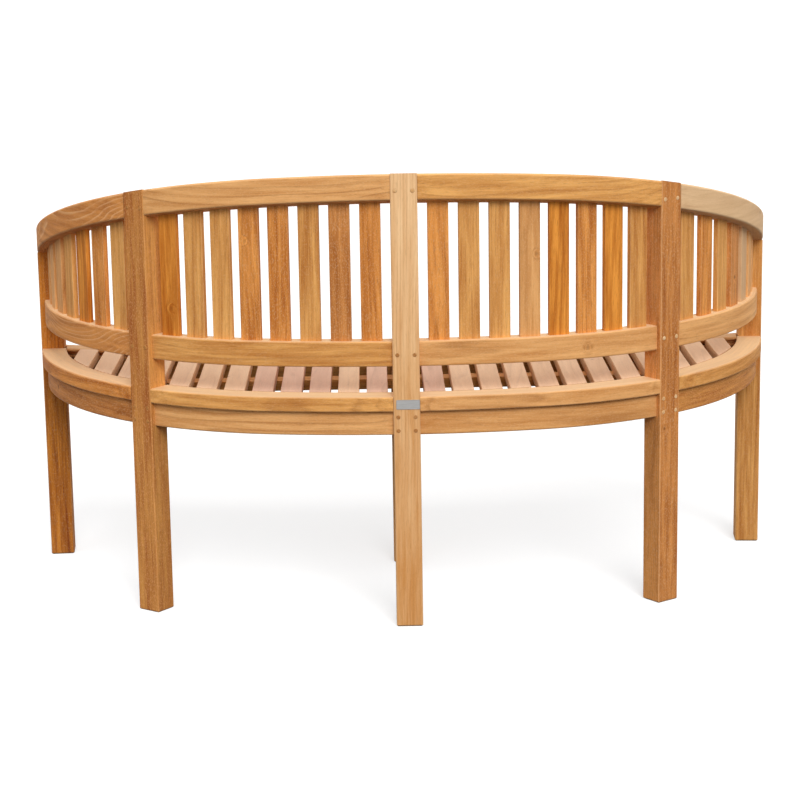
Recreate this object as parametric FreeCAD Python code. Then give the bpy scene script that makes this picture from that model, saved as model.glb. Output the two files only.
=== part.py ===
import FreeCAD, Part
import math
import os
from collections import namedtuple

os.makedirs("parts", exist_ok=True)

# A curved timber garden bench seen from its convex back: five posts carry a bowed top rail,
# lower rails, seat boards and aprons, and parallel slats fill the seat between the back and
# a bowed front board. Lengths are millimetres, angles are degrees. +X is the sitter's right,
# +Y is the way the sitter faces, and Z is up from the floor.

# Plan of the back, on the outer faces of the posts: a flat middle arc runs into two tighter ones
BENCH_WIDTH = 1504.0
SIDE_RADIUS = 610.0
MIDDLE_ARC_ANGLE = 10.0
CORNER_POST_ANGLE = 36.4
END_POST_ANGLE = 85.5

# Heights above the floor
BACK_HEIGHT = 860.0
SEAT_HEIGHT = 444.0
LOWER_RAIL_HEIGHT = 547.0
RAIL_TILT = 16.7

# Posts
POST_WIDTH = 50.0
POST_DEPTH = 46.0
END_POST_WIDTH = 50.0
END_POST_DEPTH = 48.0
POST_ROUNDING = 3.0
FOOT_CHAMFER = 3.0

# Top rail, whose faces are upright and whose top and underside slope down to the front
TOP_RAIL_HEIGHT = 48.6
TOP_RAIL_WIDTH = 40.0
TOP_RAIL_ROUNDING = 4.0
TOP_RAIL_END_ROUNDING = 12.0
TOP_RAIL_OVERHANG = 4.0

# Lower back rail
LOWER_RAIL_THICKNESS = 47.0
LOWER_RAIL_WIDTH = 36.0
LOWER_RAIL_SETBACK = 10.0
RAIL_ROUNDING = 3.0

# Back slats
MIDDLE_BAY_SLATS = 8
END_BAY_SLATS = 7
BACK_SLAT_WIDTH = 39.0
BACK_SLAT_THICKNESS = 11.0
BACK_SLAT_SETBACK = 20.5
BACK_SLAT_HOUSING = 10.0
BACK_SLAT_ROUNDING = 1.5

# Curved seat board round the back of the seat
SEAT_BOARD_THICKNESS = 28.0
SEAT_BOARD_OVERHANG = 0.0
SEAT_BOARD_WIDTH = 51.0

# Apron under the seat board
APRON_HEIGHT = 46.0
APRON_THICKNESS = 24.0
APRON_SETBACK = 10.0

# Seat slats
SEAT_SLAT_COUNT = 25
SEAT_SLAT_WIDTH = 40.0
SEAT_SLAT_THICKNESS = 20.0
SEAT_SLAT_ROUNDING = 2.0
SEAT_SIDE_GAP = 34.0
TONGUE_LENGTH = 12.0
TONGUE_THICKNESS = 9.0

# Front of the seat
FRONT_RADIUS = 2450.0
SEAT_DEPTH = 490.0
FRONT_BOARD_WIDTH = 42.0
FRONT_CHAMFER = 2.0
FRONT_APRON_HEIGHT = 54.0
FRONT_APRON_THICKNESS = 24.0
FRONT_APRON_SETBACK = 12.0
FRONT_LEG_WIDTH = 50.0
FRONT_LEG_DEPTH = 46.0
FRONT_LEG_SETBACK = 4.0

# Frame under the slats
BATTEN_WIDTH = 40.0
BATTEN_HEIGHT = 20.0
BATTEN_DISTANCE = 290.0
BATTEN_END_LENGTH = 30.0
BEARER_WIDTH = 30.0
BEARER_HEIGHT = 34.0

# Joints
TENON_LENGTH = 20.0
TENON_THICKNESS = 14.0
TENON_SHOULDER = 2.0
BOARD_TENON_THICKNESS = 12.0
BOARD_TENON_WIDTH = 24.0
BEARER_TENON_LENGTH = 10.0
BEARER_TENON_WIDTH = 14.0
FRONT_TENON_LENGTH = 11.0
FRONT_TENON_THICKNESS = 12.0
POST_STUB_HEIGHT = 25.0
POST_STUB_WIDTH = 30.0
POST_STUB_THICKNESS = 20.0
PEG_DIAMETER = 8.0
PEG_LENGTH = 36.0
PEG_EDGE_DISTANCE = 9.0
PEG_DROP_IN_TOP_RAIL = 32.0
APRON_PEG_SPREAD = 26.0

# Metal plate on the middle post
PLATE_WIDTH = 44.0
PLATE_HEIGHT = 18.0
PLATE_THICKNESS = 1.2
PLATE_CORNER = 2.0
PLATE_OFFSET = 2.5
PLATE_DROP = 5.0

# Clearances
CHEEK_CLEARANCE = 0.1
END_CLEARANCE = 0.5
PEG_CLEARANCE = 0.05
SLAT_END_CLEARANCE = 0.5

# Lean, in radians, up to which an edge counts as upright
UPRIGHT_ERROR = 0.04

# Worked out from the sizes above
Y_AXIS = FreeCAD.Vector(0, 1, 0)
Z_AXIS = FreeCAD.Vector(0, 0, 1)
REACH = 2 * BENCH_WIDTH
RAIL_SLOPE = math.tan(math.radians(RAIL_TILT))
SIDE_CENTRE_X = BENCH_WIDTH / 2 - SIDE_RADIUS * math.sin(math.radians(END_POST_ANGLE))
MIDDLE_RADIUS = SIDE_RADIUS + SIDE_CENTRE_X / math.sin(math.radians(MIDDLE_ARC_ANGLE))
SIDE_CENTRE_Y = MIDDLE_RADIUS - (MIDDLE_RADIUS - SIDE_RADIUS) * math.cos(math.radians(MIDDLE_ARC_ANGLE))
RAIL_END_ANGLE = END_POST_ANGLE + math.degrees((END_POST_WIDTH / 2 + TOP_RAIL_OVERHANG) / SIDE_RADIUS)
SEAT_BOARD_BOTTOM = SEAT_HEIGHT - SEAT_BOARD_THICKNESS
SEAT_BOARD_INSET = SEAT_BOARD_WIDTH - SEAT_BOARD_OVERHANG
APRON_BOTTOM = SEAT_BOARD_BOTTOM - APRON_HEIGHT
SLAT_BOTTOM = SEAT_HEIGHT - SEAT_SLAT_THICKNESS
TONGUE_BOTTOM = SLAT_BOTTOM + (SEAT_SLAT_THICKNESS - TONGUE_THICKNESS) / 2
TONGUE_TOP = TONGUE_BOTTOM + TONGUE_THICKNESS
BATTEN_BOTTOM = SLAT_BOTTOM - BATTEN_HEIGHT
BEARER_BOTTOM = BATTEN_BOTTOM - BEARER_HEIGHT
FRONT_APRON_BOTTOM = SLAT_BOTTOM - FRONT_APRON_HEIGHT
FRONT_CENTRE_Y = SEAT_DEPTH + FRONT_RADIUS
FRONT_APRON_BACK_RADIUS = FRONT_RADIUS + FRONT_APRON_SETBACK + FRONT_APRON_THICKNESS
FRONT_LEG_FRONT = SEAT_DEPTH - FRONT_LEG_SETBACK
FRONT_LEG_BACK = FRONT_LEG_FRONT - FRONT_LEG_DEPTH

Post = namedtuple("Post", "name angle width depth")
Course = namedtuple("Course", "outer inner bottom top")

POSTS = [
    Post("left_end_post", -END_POST_ANGLE, END_POST_WIDTH, END_POST_DEPTH),
    Post("left_corner_post", -CORNER_POST_ANGLE, POST_WIDTH, POST_DEPTH),
    Post("middle_post", 0.0, POST_WIDTH, POST_DEPTH),
    Post("right_corner_post", CORNER_POST_ANGLE, POST_WIDTH, POST_DEPTH),
    Post("right_end_post", END_POST_ANGLE, END_POST_WIDTH, END_POST_DEPTH),
]
BAYS = ["left_end", "left_middle", "right_middle", "right_end"]
BACK_POSTS = POSTS[1:-1]
END_POSTS = (POSTS[0], POSTS[-1])

LOWER_RAIL = Course(LOWER_RAIL_SETBACK, LOWER_RAIL_SETBACK + LOWER_RAIL_WIDTH,
                    LOWER_RAIL_HEIGHT - LOWER_RAIL_THICKNESS, LOWER_RAIL_HEIGHT)
SEAT_BOARD = Course(-SEAT_BOARD_OVERHANG, SEAT_BOARD_INSET, SEAT_BOARD_BOTTOM, SEAT_HEIGHT)
APRON = Course(APRON_SETBACK, APRON_SETBACK + APRON_THICKNESS, APRON_BOTTOM, SEAT_BOARD_BOTTOM)


def plan_point(angle, inset=0.0):
    """Point where the plan curve has turned by angle, moved towards the sitter by inset."""
    side = math.copysign(1.0, angle)
    turned = math.radians(abs(angle))
    if abs(angle) <= MIDDLE_ARC_ANGLE:
        radius = MIDDLE_RADIUS - inset
        return FreeCAD.Vector(side * radius * math.sin(turned), MIDDLE_RADIUS - radius * math.cos(turned), 0)
    radius = SIDE_RADIUS - inset
    x = SIDE_CENTRE_X + radius * math.sin(turned)
    return FreeCAD.Vector(side * x, SIDE_CENTRE_Y - radius * math.cos(turned), 0)


def length_at_angle(angle):
    """Length along the plan curve from its middle, signed like the angle."""
    middle = min(abs(angle), MIDDLE_ARC_ANGLE)
    beyond = abs(angle) - middle
    length = MIDDLE_RADIUS * math.radians(middle) + SIDE_RADIUS * math.radians(beyond)
    return math.copysign(length, angle)


def angle_at_length(length):
    """Turn of the plan curve at a length along it, the inverse of length_at_angle."""
    middle_length = MIDDLE_RADIUS * math.radians(MIDDLE_ARC_ANGLE)
    if abs(length) <= middle_length:
        return math.degrees(length / MIDDLE_RADIUS)
    beyond = math.degrees((abs(length) - middle_length) / SIDE_RADIUS)
    return math.copysign(MIDDLE_ARC_ANGLE + beyond, length)


def plan_arcs(start, stop, inset):
    """Arcs of the plan curve between two angles, with a joint wherever the radius changes."""
    changes = [angle for angle in (-MIDDLE_ARC_ANGLE, MIDDLE_ARC_ANGLE) if start < angle < stop]
    angles = [start] + changes + [stop]
    arcs = []
    for first, last in zip(angles, angles[1:]):
        middle = (first + last) / 2
        arc = Part.Arc(plan_point(first, inset), plan_point(middle, inset), plan_point(last, inset))
        arcs.append(arc.toShape())
    return arcs


def line(start, end):
    """Straight edge between two points."""
    return Part.LineSegment(start, end).toShape()


def prism(edges, bottom, top):
    """Upright solid over the plan outline that the edges close."""
    face = Part.Face(Part.Wire(Part.__sortEdges__(edges)))
    face.translate(Z_AXIS * bottom)
    return face.extrude(Z_AXIS * (top - bottom))


def box(x0, x1, y0, y1, z0, z1):
    """Box between two corners."""
    return Part.makeBox(x1 - x0, y1 - y0, z1 - z0, FreeCAD.Vector(x0, y0, z0))


def is_upright(edge):
    """True for a straight vertical edge."""
    return isinstance(edge.Curve, Part.Line) and edge.tangentAt(edge.FirstParameter).isParallel(Z_AXIS, UPRIGHT_ERROR)


def long_edges(shape):
    """The curved edges along a bowed bar, without those of its ends."""
    return [edge for edge in shape.Edges if not isinstance(edge.Curve, Part.Line)]


def curved_bar(start, stop, course):
    """Bar that follows the plan curve between two angles, with upright faces."""
    outside = plan_arcs(start, stop, course.outer)
    inside = plan_arcs(start, stop, course.inner)
    ends = [line(plan_point(angle, course.outer), plan_point(angle, course.inner)) for angle in (start, stop)]
    return prism(outside + inside + ends, course.bottom, course.top)


def sloping_slab(low, high):
    """Slab that slopes down to the front like the top rail, from low to high above y = 0."""
    corners = []
    for y, z in ((-REACH, low), (REACH, low), (REACH, high), (-REACH, high)):
        corners.append(FreeCAD.Vector(-REACH, y, z - RAIL_SLOPE * y))
    face = Part.Face(Part.makePolygon(corners + corners[:1]))
    return face.extrude(FreeCAD.Vector(2 * REACH, 0, 0))


def rail_top_at(y):
    """Height of the top rail's upper face at a distance in front of the middle post's face."""
    return BACK_HEIGHT - RAIL_SLOPE * y


def on_curve(shape, angle):
    """Shape made with x along the curve and y inwards, moved to its place on the plan curve."""
    shape.Placement = FreeCAD.Placement(plan_point(angle), FreeCAD.Rotation(Z_AXIS, angle)) * shape.Placement
    return shape


def post_box(post, x0, x1, y0, y1, z0, z1):
    """Box in a post's own directions, measured from the middle of its outer face."""
    return on_curve(box(x0, x1, y0, y1, z0, z1), post.angle)


def post_slab(post):
    """Everything between the planes of a post's two side faces."""
    half = post.width / 2
    return post_box(post, -half, half, -REACH, post.depth * 2, 0, REACH)


def eased_post(blank):
    """Square post with rounded upright edges and a chamfered foot."""
    rounded = blank.makeFillet(POST_ROUNDING, [edge for edge in blank.Edges if is_upright(edge)])
    foot = [edge for edge in blank.Edges if edge.BoundBox.ZMax < FOOT_CHAMFER]
    return rounded.common(blank.makeChamfer(FOOT_CHAMFER, foot))


def post_blank(post):
    """Post in its place, before its top and joints are cut."""
    half = post.width / 2
    return on_curve(eased_post(box(-half, half, 0, post.depth, 0, BACK_HEIGHT)), post.angle)


def tenon(post, side, inset, thickness, bottom, top, grow=0.0):
    """Tenon that enters a post's side face, or its mortise if grow is above zero."""
    half = post.width / 2
    depth = TENON_LENGTH + (END_CLEARANCE if grow else 0.0)
    root = 0.0 if grow else TENON_SHOULDER
    near, far = sorted((side * (half - depth), side * (half + root)))
    return post_box(post, near, far, inset - thickness / 2 - grow, inset + thickness / 2 + grow,
                    bottom - grow, top + grow)


def rail_tenon(post, side, course, grow=0.0):
    """Upright tenon of a lower rail or an apron."""
    middle = (course.outer + course.inner) / 2
    return tenon(post, side, middle, TENON_THICKNESS, course.bottom + TENON_SHOULDER,
                 course.top - TENON_SHOULDER, grow)


def lower_rail_tenon(post, side, grow=0.0):
    """Tenon of a lower rail."""
    return rail_tenon(post, side, LOWER_RAIL, grow)


def apron_tenon(post, side, grow=0.0):
    """Tenon of an apron."""
    return rail_tenon(post, side, APRON, grow)


def board_tenon(post, side, grow=0.0):
    """Flat tenon of a seat board."""
    middle = (SEAT_BOARD.outer + SEAT_BOARD.inner) / 2
    height = (SEAT_BOARD.bottom + SEAT_BOARD.top - BOARD_TENON_THICKNESS) / 2
    return tenon(post, side, middle, BOARD_TENON_WIDTH, height, height + BOARD_TENON_THICKNESS, grow)


def top_rail_tenon(post, side, grow=0.0):
    """Upright tenon of a top rail, level although the rail slopes."""
    inset = TOP_RAIL_WIDTH / 2
    joint_y = plan_point(post.angle, inset).y + side * post.width / 2 * math.sin(math.radians(post.angle))
    middle = rail_top_at(joint_y) - TOP_RAIL_HEIGHT / 2
    half = TOP_RAIL_HEIGHT / 2 - TENON_SHOULDER - RAIL_SLOPE * TENON_LENGTH
    return tenon(post, side, inset, TENON_THICKNESS, middle - half, middle + half, grow)


def post_stub(post, grow=0.0):
    """Stub on top of an end post that enters the top rail from below."""
    inset = TOP_RAIL_WIDTH / 2
    floor = rail_top_at(plan_point(post.angle).y) - TOP_RAIL_HEIGHT
    top = floor + POST_STUB_HEIGHT + (END_CLEARANCE if grow else 0.0)
    half_width = POST_STUB_WIDTH / 2 + grow
    half_thickness = POST_STUB_THICKNESS / 2 + grow
    low = floor - RAIL_SLOPE * END_POST_WIDTH
    return post_box(post, -half_width, half_width, inset - half_thickness, inset + half_thickness, low, top)


def peg_heights(post):
    """Heights of the pegs in one post."""
    rail_line = (LOWER_RAIL.bottom + LOWER_RAIL.top) / 2
    apron_line = (APRON.bottom + APRON.top) / 2
    heights = [rail_line, apron_line - APRON_PEG_SPREAD / 2, apron_line + APRON_PEG_SPREAD / 2]
    if post in BACK_POSTS:
        heights.append(rail_top_at(plan_point(post.angle).y) - PEG_DROP_IN_TOP_RAIL)
    return heights


def joint_sides(post):
    """Sides of a post where a bay ends: both, or one at an end post."""
    if post == POSTS[0]:
        return (1,)
    if post == POSTS[-1]:
        return (-1,)
    return (-1, 1)


def post_pegs(post, clearance=0.0):
    """Pegs of one post, one at each height and each joint, or their holes with a clearance."""
    pegs = []
    for height in peg_heights(post):
        for side in joint_sides(post):
            start = FreeCAD.Vector(side * (post.width / 2 - PEG_EDGE_DISTANCE), 0, height)
            peg = Part.makeCylinder(PEG_DIAMETER / 2 + clearance, PEG_LENGTH + clearance, start, Y_AXIS)
            pegs.append(on_curve(peg, post.angle))
    return pegs


def seat_field(grow, bottom, top):
    """Space between the seat boards and the front board, grown outwards by a length."""
    inset = SEAT_BOARD_INSET + SLAT_END_CLEARANCE - grow
    curve = plan_arcs(-END_POST_ANGLE, END_POST_ANGLE, inset)
    chord = line(plan_point(-END_POST_ANGLE, inset), plan_point(END_POST_ANGLE, inset))
    radius = FRONT_RADIUS + FRONT_BOARD_WIDTH + SLAT_END_CLEARANCE - grow
    front = Part.makeCylinder(radius, top - bottom, FreeCAD.Vector(0, FRONT_CENTRE_Y, bottom), Z_AXIS)
    return prism(curve + [chord], bottom, top).cut(front)


def slat_groove():
    """Groove round the seat whose lower face carries the tongues of the seat slats."""
    grown = TONGUE_LENGTH + END_CLEARANCE
    return seat_field(grown, TONGUE_BOTTOM, TONGUE_TOP + CHEEK_CLEARANCE)


def front_point(radius, x):
    """Point on an arc round the centre of the front edge, at a sideways position."""
    return FreeCAD.Vector(x, FRONT_CENTRE_Y - math.sqrt(radius ** 2 - x ** 2), 0)


def front_bar(front, width, start, stop, bottom, top):
    """Bar that follows the front edge of the seat, between two sideways positions."""
    radii = (FRONT_RADIUS + front, FRONT_RADIUS + front + width)
    edges = []
    for radius in radii:
        points = [front_point(radius, x) for x in (start, (start + stop) / 2, stop)]
        edges.append(Part.Arc(*points).toShape())
    for x in (start, stop):
        edges.append(line(front_point(radii[0], x), front_point(radii[1], x)))
    return prism(edges, bottom, top)


# Rails, boards and aprons of each bay
def make_rail(first, last, course, tenon_maker):
    """Curved rail between two neighbouring posts, with a tenon at each end."""
    bar = curved_bar(first.angle, last.angle, course)
    bar = bar.makeFillet(RAIL_ROUNDING, long_edges(bar))
    bar = bar.cut([post_slab(first), post_slab(last)])
    return bar.fuse([tenon_maker(first, 1), tenon_maker(last, -1)]).removeSplitter()


def make_top_rail(first, last):
    """Sloping top rail of one bay, which runs on over an end post."""
    start = first.angle if first in BACK_POSTS else -RAIL_END_ANGLE
    stop = last.angle if last in BACK_POSTS else RAIL_END_ANGLE
    bar = curved_bar(start, stop, Course(0.0, TOP_RAIL_WIDTH, 0.0, REACH))
    end_y = plan_point(END_POST_ANGLE).y
    free_corners = [edge for edge in bar.Edges if is_upright(edge) and edge.BoundBox.YMin > end_y]
    if free_corners:
        bar = bar.makeFillet(TOP_RAIL_END_ROUNDING, free_corners)
    bar = bar.common(sloping_slab(BACK_HEIGHT - TOP_RAIL_HEIGHT, BACK_HEIGHT))
    bar = bar.makeFillet(TOP_RAIL_ROUNDING, long_edges(bar))
    joints = [(post, side) for post, side in ((first, 1), (last, -1)) if post in BACK_POSTS]
    bar = bar.cut([post_slab(post) for post, side in joints])
    bar = bar.fuse([top_rail_tenon(post, side) for post, side in joints]).removeSplitter()
    stubs = [post_stub(post, CHEEK_CLEARANCE) for post in (first, last) if post in END_POSTS]
    return bar.cut(stubs) if stubs else bar


# Back slats
def back_slat(angle, grow=0.0):
    """Upright slat at one angle, housed in both rails, or its housing if grow is above zero."""
    half = BACK_SLAT_WIDTH / 2
    bottom = LOWER_RAIL_HEIGHT - BACK_SLAT_HOUSING - grow
    ceiling = BACK_HEIGHT - TOP_RAIL_HEIGHT + BACK_SLAT_HOUSING + grow
    slat = box(-half, half, BACK_SLAT_SETBACK, BACK_SLAT_SETBACK + BACK_SLAT_THICKNESS, bottom, BACK_HEIGHT)
    slat = slat.makeFillet(BACK_SLAT_ROUNDING, [edge for edge in slat.Edges if is_upright(edge)])
    return on_curve(slat, angle).common(sloping_slab(-REACH, ceiling))


def slat_angles(first, last):
    """Angles that space the back slats evenly between two posts."""
    count = END_BAY_SLATS if first in END_POSTS or last in END_POSTS else MIDDLE_BAY_SLATS
    start = length_at_angle(first.angle) + first.width / 2
    stop = length_at_angle(last.angle) - last.width / 2
    gap = (stop - start - count * BACK_SLAT_WIDTH) / (count + 1)
    centres = [start + gap / 2 + (index + 0.5) * (BACK_SLAT_WIDTH + gap) for index in range(count)]
    return [angle_at_length(centre) for centre in centres]


# Seat slats
def seat_slat_centres():
    """Sideways positions of the seat slats, evenly spaced across the seat."""
    inner_x = plan_point(END_POST_ANGLE, END_POST_DEPTH).x
    last = inner_x - SEAT_SIDE_GAP - SEAT_SLAT_WIDTH / 2
    pitch = 2 * last / (SEAT_SLAT_COUNT - 1)
    return [index * pitch - last for index in range(SEAT_SLAT_COUNT)]


def seat_slat(centre, field, tongue_field):
    """One seat slat with a tongue at each end."""
    half = SEAT_SLAT_WIDTH / 2
    plank = box(centre - half, centre + half, 0, REACH, SLAT_BOTTOM, SEAT_HEIGHT)
    top_edges = [edge for edge in plank.Edges if edge.Length == REACH and edge.BoundBox.ZMin > SLAT_BOTTOM]
    plank = plank.makeFillet(SEAT_SLAT_ROUNDING, top_edges).common(field)
    tongue = box(centre - half, centre + half, 0, REACH, TONGUE_BOTTOM, TONGUE_TOP)
    return plank.fuse(tongue.common(tongue_field)).removeSplitter()


# Front leg, front aprons, bearers and batten
def front_leg_blank():
    """Middle leg under the front board, with eased corners and foot."""
    half = FRONT_LEG_WIDTH / 2
    blank = box(-half, half, FRONT_LEG_BACK, FRONT_LEG_FRONT, 0, SLAT_BOTTOM)
    return eased_post(blank)


def front_tenon(side, face_x, outward, grow=0.0):
    """Tenon of a front apron at a face on one side, entering outwards (1) or inwards (-1)."""
    depth = FRONT_TENON_LENGTH + (END_CLEARANCE if grow else 0.0)
    near, far = sorted((side * (face_x - outward * TENON_SHOULDER), side * (face_x + outward * depth)))
    middle = front_point(FRONT_APRON_BACK_RADIUS - FRONT_APRON_THICKNESS / 2, face_x).y
    half = FRONT_TENON_THICKNESS / 2 + grow
    low = FRONT_APRON_BOTTOM + TENON_SHOULDER - grow
    return box(near, far, middle - half, middle + half, low, SLAT_BOTTOM - TENON_SHOULDER + grow)


def front_joints(side, grow=0.0):
    """Tenons of one front apron, in the end post and in the front leg."""
    post = END_POSTS[0] if side < 0 else END_POSTS[1]
    inner_x = abs(plan_point(post.angle, post.depth).x)
    return front_tenon(side, inner_x, 1, grow), front_tenon(side, FRONT_LEG_WIDTH / 2, -1, grow)


def up_to_end_posts(bar):
    """Bowed front bar shortened to the inner faces of the end posts."""
    outside = [post_box(post, -REACH, REACH, -REACH, post.depth, 0, REACH) for post in END_POSTS]
    return bar.cut(outside)


def make_front_apron(side):
    """Bowed apron under one half of the front board."""
    near, far = sorted((side * FRONT_LEG_WIDTH / 2, side * BENCH_WIDTH / 2))
    bar = front_bar(FRONT_APRON_SETBACK, FRONT_APRON_THICKNESS, near, far, FRONT_APRON_BOTTOM, SLAT_BOTTOM)
    bar = up_to_end_posts(bar.makeChamfer(FRONT_CHAMFER, long_edges(bar)))
    return bar.fuse(list(front_joints(side))).removeSplitter()


def make_front_board():
    """Bowed board along the front of the seat, over the front aprons and the front leg."""
    half = BENCH_WIDTH / 2
    bar = front_bar(0.0, FRONT_BOARD_WIDTH, -half, half, SLAT_BOTTOM, SEAT_HEIGHT)
    bar = up_to_end_posts(bar.makeChamfer(FRONT_CHAMFER, long_edges(bar)))
    seat_boards = [curved_bar(first.angle, last.angle, SEAT_BOARD) for first, last in (POSTS[:2], POSTS[-2:])]
    return bar.cut(seat_boards).cut(slat_groove())


def bearer_span(post):
    """Sideways position of the bearer behind a post, and where it starts and stops there."""
    start = plan_point(post.angle, post.depth)
    if post.angle == 0:
        return start.x, start.y, FRONT_LEG_BACK
    return start.x, start.y, front_point(FRONT_APRON_BACK_RADIUS, start.x).y


def bearer_tenons(post, grow=0.0):
    """Back and front tenon of the bearer behind a post."""
    x, start, stop = bearer_span(post)
    half = BEARER_TENON_WIDTH / 2 + grow
    reach = BEARER_TENON_LENGTH + (END_CLEARANCE if grow else 0.0)
    low = BEARER_BOTTOM + TENON_SHOULDER - grow
    high = BATTEN_BOTTOM - TENON_SHOULDER + grow
    back = box(x - half, x + half, start - reach, start + BEARER_TENON_WIDTH, low, high)
    front = box(x - half, x + half, stop - BEARER_TENON_WIDTH, stop + reach, low, high)
    return back, front


def make_bearer(post):
    """Straight bearer from a post's inner face to the front of the seat."""
    x, start, stop = bearer_span(post)
    half = BEARER_WIDTH / 2
    bar = box(x - half, x + half, start - BEARER_WIDTH, stop + BEARER_WIDTH, BEARER_BOTTOM, BATTEN_BOTTOM)
    bar = bar.cut(post_box(post, -REACH, REACH, -REACH, post.depth, 0, REACH))
    if post.angle == 0:
        bar = bar.cut(box(-REACH, REACH, stop, REACH, 0, REACH))
    else:
        centre = FreeCAD.Vector(0, FRONT_CENTRE_Y, 0)
        bar = bar.cut(Part.makeCylinder(FRONT_APRON_BACK_RADIUS, REACH, centre, Z_AXIS))
    return bar.fuse(list(bearer_tenons(post))).removeSplitter()


def make_batten():
    """Straight batten across the bearers, under the slats."""
    half = abs(bearer_span(POSTS[1])[0]) + BEARER_WIDTH / 2 + BATTEN_END_LENGTH
    back = BATTEN_DISTANCE - BATTEN_WIDTH / 2
    return box(-half, half, back, back + BATTEN_WIDTH, BATTEN_BOTTOM, SLAT_BOTTOM)


def make_plate():
    """Small bare plate with rounded corners on the middle post's outer face."""
    half = PLATE_WIDTH / 2
    top = SEAT_HEIGHT - PLATE_DROP
    plate = box(PLATE_OFFSET - half, PLATE_OFFSET + half, -PLATE_THICKNESS, 0, top - PLATE_HEIGHT, top)
    return plate.makeFillet(PLATE_CORNER, [edge for edge in plate.Edges if edge.Length == PLATE_THICKNESS])


# Posts with their joints
def post_mortises(post):
    """Everything that is cut out of one post, except its peg holes."""
    mortises = []
    for side in joint_sides(post):
        for maker in (lower_rail_tenon, apron_tenon, board_tenon):
            mortises.append(maker(post, side, CHEEK_CLEARANCE))
        if post in BACK_POSTS:
            mortises.append(top_rail_tenon(post, side, CHEEK_CLEARANCE))
    if post in BACK_POSTS:
        mortises.append(bearer_tenons(post, CHEEK_CLEARANCE)[0])
        mortises.append(slat_groove())
    else:
        mortises.append(front_joints(math.copysign(1, post.angle), CHEEK_CLEARANCE)[0])
    return mortises


def make_post(post):
    """Post cut to the slope of the top rail, with its mortises and peg holes."""
    ceiling = BACK_HEIGHT if post in BACK_POSTS else BACK_HEIGHT - TOP_RAIL_HEIGHT
    blank = post_blank(post).common(sloping_slab(-2 * REACH, ceiling))
    if post in END_POSTS:
        blank = blank.fuse(post_stub(post)).removeSplitter()
    return blank.cut(post_mortises(post) + post_pegs(post, PEG_CLEARANCE))


nodes = {}
for post in POSTS:
    nodes[post.name] = make_post(post)

for bay, first, last in zip(BAYS, POSTS, POSTS[1:]):
    holes = post_pegs(first, PEG_CLEARANCE) + post_pegs(last, PEG_CLEARANCE)
    angles = slat_angles(first, last)
    housings = [back_slat(angle, END_CLEARANCE) for angle in angles]
    nodes["top_rail_" + bay] = make_top_rail(first, last).cut(holes + housings)
    nodes["lower_rail_" + bay] = make_rail(first, last, LOWER_RAIL, lower_rail_tenon).cut(holes + housings)
    nodes["back_slats_" + bay] = Part.makeCompound([back_slat(angle) for angle in angles])
    nodes["seat_board_" + bay] = make_rail(first, last, SEAT_BOARD, board_tenon).cut(slat_groove())
    nodes["apron_" + bay] = make_rail(first, last, APRON, apron_tenon).cut(holes)

slat_field = seat_field(0.0, SLAT_BOTTOM, SEAT_HEIGHT)
tongue_field = seat_field(TONGUE_LENGTH, TONGUE_BOTTOM, TONGUE_TOP)
for index, centre in enumerate(seat_slat_centres()):
    nodes["seat_slat_%02d" % (index + 1)] = seat_slat(centre, slat_field, tongue_field)

nodes["front_board"] = make_front_board()
bearer_mortises = [bearer_tenons(post, CHEEK_CLEARANCE)[1] for post in BACK_POSTS]
leg_mortises = [front_joints(side, CHEEK_CLEARANCE)[1] for side in (-1, 1)]
nodes["front_leg"] = front_leg_blank().cut(leg_mortises + bearer_mortises)
nodes["front_apron_left"] = make_front_apron(-1).cut(bearer_mortises)
nodes["front_apron_right"] = make_front_apron(1).cut(bearer_mortises)
for name, post in zip(("bearer_left", "bearer_middle", "bearer_right"), BACK_POSTS):
    nodes[name] = make_bearer(post)
nodes["seat_batten"] = make_batten()
nodes["joint_pegs"] = Part.makeCompound([peg for post in POSTS for peg in post_pegs(post)])
nodes["name_plate"] = make_plate()

# The origin lies on the floor, in the middle of the bench's width and depth
front_most = plan_point(RAIL_END_ANGLE, TOP_RAIL_WIDTH - TOP_RAIL_END_ROUNDING).y
origin = FreeCAD.Vector(0, (front_most - SEAT_BOARD_OVERHANG) / 2, 0)
for name, shape in nodes.items():
    shape.translate(-origin)
    shape.exportStep("parts/" + name + ".step")
    print(name, len(shape.Solids), shape.isValid(), round(shape.Volume / 1000, 1))
print("nodes", len(nodes))
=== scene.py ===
import logging
import math
import random
from dataclasses import dataclass
from enum import Enum
from functools import cache

import bpy
import bmesh
import numpy as np
from mathutils import Matrix, Vector


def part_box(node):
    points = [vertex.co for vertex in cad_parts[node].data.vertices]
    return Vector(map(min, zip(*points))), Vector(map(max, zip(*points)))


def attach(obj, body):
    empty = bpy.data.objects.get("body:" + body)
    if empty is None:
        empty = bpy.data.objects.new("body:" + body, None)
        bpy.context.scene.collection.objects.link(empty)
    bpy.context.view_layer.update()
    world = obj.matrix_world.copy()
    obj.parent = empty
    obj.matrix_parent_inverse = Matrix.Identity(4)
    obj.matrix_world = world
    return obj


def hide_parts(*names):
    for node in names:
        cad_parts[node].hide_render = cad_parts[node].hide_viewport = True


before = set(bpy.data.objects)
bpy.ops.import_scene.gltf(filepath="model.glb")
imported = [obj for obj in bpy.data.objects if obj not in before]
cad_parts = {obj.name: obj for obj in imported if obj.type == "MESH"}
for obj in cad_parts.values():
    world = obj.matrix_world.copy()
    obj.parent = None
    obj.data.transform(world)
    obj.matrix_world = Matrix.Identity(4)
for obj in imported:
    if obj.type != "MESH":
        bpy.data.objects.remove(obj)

# A curved teak garden bench seen from its convex back. The CAD solids carry every shape of the
# timber. This script gives each board its own grain and tone, replaces the pegs and the plate
# with finer pieces, and sets up the floor, the light and the camera.

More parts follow.
